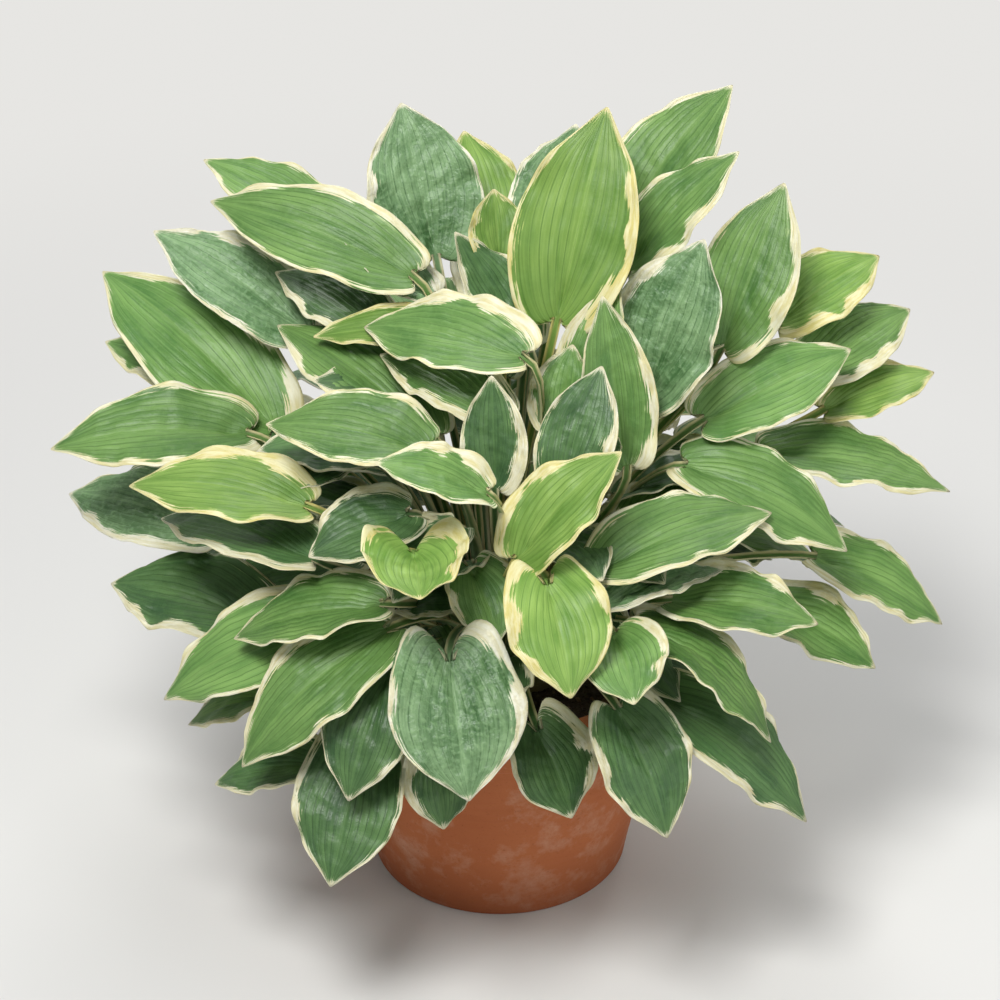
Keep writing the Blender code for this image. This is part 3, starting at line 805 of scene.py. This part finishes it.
def leaf_sheet(leaf, foot, rng):
    """Points of the leaf's middle surface, its upward directions, its thickness and its patterns,
    over rows from the foot to the tip and columns from edge to edge.

    The stalk's centre line is the Bezier curve of foot, rise, lead and base; the midrib is
    base + s chord + 4 arch length s (1 - s) face. Each row is a channel on the stalk and a fold
    that rises with v^2 on the blade. Veins are lines of constant v.
    """
    base, chord, side, face = blade_axes(leaf)
    width, habit, colour = leaf[6] / 1000, leaf[8], leaf[9]
    arch, fold_base, fold_tip, lobe = HABITS[habit]
    length = np.linalg.norm(chord)
    start = np.array([foot[0], foot[1], FOOT_HEIGHT])
    entry = unit(chord + 4 * arch * length * face)
    span = np.linalg.norm(base - start)
    phases = rng.uniform(0, 2 * np.pi, 8)
    left_rim, right_rim = rng.permutation([rng.uniform(*NARROW_MARGIN), rng.uniform(*WIDE_MARGIN)])

    t = np.linspace(0.0, 1.0, STALK_ROWS)[:, None]
    rise = start + np.array([0.0, 0.0, 0.35 * span])
    lead = base - 0.15 * span * entry
    stalk = (1 - t) ** 3 * start + 3 * (1 - t) ** 2 * t * rise + 3 * (1 - t) * t**2 * lead + t**3 * base
    stalk_run = (1 - t) ** 2 * (rise - start) + 2 * (1 - t) * t * (lead - rise) + t**2 * (base - lead)

    s = np.linspace(0.0, 1.0, BLADE_ROWS + 1)[1:, None] ** 1.25
    blade = base + s * chord + 4 * arch * length * s * (1 - s) * face
    blade_run = chord + 4 * arch * length * (1 - 2 * s) * face

    centre = np.vstack([stalk, blade])
    run = unit(np.vstack([stalk_run, blade_run]))
    turn = np.vstack([smooth(t), np.ones_like(s)])
    foot_side = sideways(math.degrees(math.atan2(foot[0], -foot[1])))
    across = (1 - turn) * foot_side + turn * side
    across = unit(across - run * (across * run).sum(axis=1, keepdims=True))
    up = np.cross(run, across)

    s = np.vstack([np.zeros_like(t), s])
    t = np.vstack([t, np.ones((BLADE_ROWS, 1))])
    v = np.linspace(-1.0, 1.0, 2 * VEINS * STEPS_PER_VEIN + 1)
    # The blade twists a little and its tip strays sideways.
    twist = TWIST * math.sin(phases[6]) * s
    across, up = across * np.cos(twist) + up * np.sin(twist), up * np.cos(twist) - across * np.sin(twist)
    centre = centre + side * (STRAY_SHARE * length * math.sin(phases[7]) * s**2)

    # Half the width: s^e (1 - s)^0.85 over its greatest value, with e = 0.5 at the edge. Inner veins
    # have a greater e, so they leave the base at smaller angles and spread like a fan.
    spread = 1.0 - 0.5 * np.abs(v) ** 1.2
    greatest = (spread / (spread + 0.85)) ** spread * (0.85 / (spread + 0.85)) ** 0.85
    shape = s**spread * np.maximum(1.0 - s, 0.0) ** 0.85 / greatest * (1 - 0.3 * smooth(4 * s - 3))
    stem = STALK_HALF_WIDTH * (1.0 - s) + FOOT_FLARE * (1 - t) ** 3
    halves = np.hypot(width / 2 * shape, stem) + TIP_HALF_WIDTH * s
    half = halves[:, :1]
    opened = smooth(s / 0.10)
    closing = smooth((1 - s) / 0.2)
    midrib = np.exp(-((v * half / MIDRIB_HALF_WIDTH) ** 2))
    valley = np.exp(-((v * half / VALLEY_HALF_WIDTH) ** 2))
    fold = (fold_base + (fold_tip - fold_base) * s) * half * smooth(s / 0.03)
    lift = (fold + STALK_CHANNEL * (1 - s) ** 6) * v**2
    ribs = RIB_HEIGHT * (np.abs(np.sin(VEINS * np.pi * v)) ** 0.7 - 0.6) * np.minimum(half / 0.03, 1.2)
    pucker = PUCKER[colour] * ripple(length * s + 0 * v, halves * v, rng.randint(1000), PUCKER_SCALE, 2)
    edge_waves = np.where(v > 0, waves(s, phases[:3]), waves(s, phases[3:6]))
    frill = FRILL_SHARE * width * edge_waves * np.abs(v) ** 3 * closing
    groove = -(MIDRIB_DEPTH * midrib + VALLEY_DEPTH * valley) * (1 - s)
    lift = lift + (ribs + pucker * closing + frill + groove) * opened
    lobed = np.minimum(np.sqrt(s) / 0.6, 1.0)
    back = 1.7 * lobe * width * np.sin(np.pi * lobed) * (1 - lobed) * np.abs(v) ** 1.6
    points = centre[:, None] + across[:, None] * (halves * v)[..., None] + up[:, None] * lift[..., None]
    points = points - run[:, None] * back[..., None] + np.array([0.0, 0.0, SOIL_TOP])

    thick = BLADE_THICKNESS + STALK_THICKNESS * (1 - opened) + MIDRIB_THICKNESS * midrib * (1 - s) ** 0.7
    thick = thick * (1 - 0.6 * np.abs(v) ** 6)
    # The margin narrows towards the base and where the blade does, and closes round the tip.
    rim = np.where(v > 0, right_rim, left_rim) * (0.85 + 0.4 * edge_waves)
    rim = np.minimum(rim * (0.45 + 0.55 * smooth(s / 0.3)), 380 * half)
    inside = np.minimum(half * (1 - np.abs(v)) * 1000 - rim, (1 - s) * length * 1000 - TIP_MARGIN)
    number = np.full(points.shape[:2], rng.uniform())
    pattern = np.stack([v + 0 * s, s + 0 * v, number], axis=-1)
    return points, up, thick, pattern, inside, 1 - smooth(s / 0.05) + 0 * v


def leaf_piece(name, leaf, foot, tissues, rng):
    """One closed leaf: columns run across the upper face and back across the lower, whose faces
    take the second tissue, and strips of quads close the foot and the tip."""
    points, up, thick, pattern, inside, stalk = leaf_sheet(leaf, foot, rng)
    normal = unit(np.cross(np.gradient(points, axis=1), np.gradient(points, axis=0)))
    normal *= np.sign((normal * up[:, None]).sum(axis=-1).mean(axis=1))[:, None, None]
    offset = normal * thick[..., None] / 2
    ring = np.concatenate([points + offset, (points - offset)[:, ::-1]], axis=1)
    rows, around = ring.shape[:2]
    wide = around // 2
    here = np.arange(around)
    there = (here + 1) % around
    step = np.arange(rows - 1)[:, None] * around
    quads = np.stack([here + step, there + step, there + step + around, here + step + around], axis=-1)
    k = np.arange(wide - 1)
    cap = np.stack([k, k + 1, around - 2 - k, around - 1 - k], axis=-1)
    faces = np.vstack([quads.reshape(-1, 4), cap[:, ::-1], cap + (rows - 1) * around])
    obj = mesh_piece(name, ring, faces.tolist(), tissues)
    below = np.zeros(len(faces), dtype=np.int32)
    below[: (rows - 1) * around] = np.tile(here >= wide, rows - 1)
    mesh = obj.data
    mesh.polygons.foreach_set("material_index", below)
    for key, kind, field, grid in (
        ("blade", "FLOAT_VECTOR", "vector", pattern),
        ("margin", "FLOAT", "value", inside),
        ("stalk", "FLOAT", "value", stalk),
    ):
        both = np.concatenate([grid, grid[:, ::-1]], axis=1).astype(np.float32)
        mesh.attributes.new(key, kind, "POINT").data.foreach_set(field, both.ravel())
    return obj


tissues = {
    colour: [
        leaf_tissue(f"hosta_leaf_{colour}_upper", codes, QUILTING[colour], False),
        leaf_tissue(f"hosta_leaf_{colour}_under", codes, QUILTING[colour], True),
    ]
    for colour, codes in BLADE_COLOURS.items()
}
rng = np.random.RandomState(5)
for tiers in (MODELLED_TIERS, [tier for tier in TIERS if tier not in MODELLED_TIERS]):
    rows = [(tier, i, leaf) for tier in tiers for i, leaf in enumerate(TIERS[tier], start=1)]
    feet = crown_feet([leaf for _, _, leaf in rows])
    for (tier, i, leaf), foot in zip(rows, feet):
        piece = leaf_piece(f"{tier}_hosta_leaf_{i:02d}", leaf, foot, tissues[leaf[9]], rng)
        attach(piece, "root")
        if tier in MODELLED_TIERS:
            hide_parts(f"{tier}_leaf_{i:02d}")
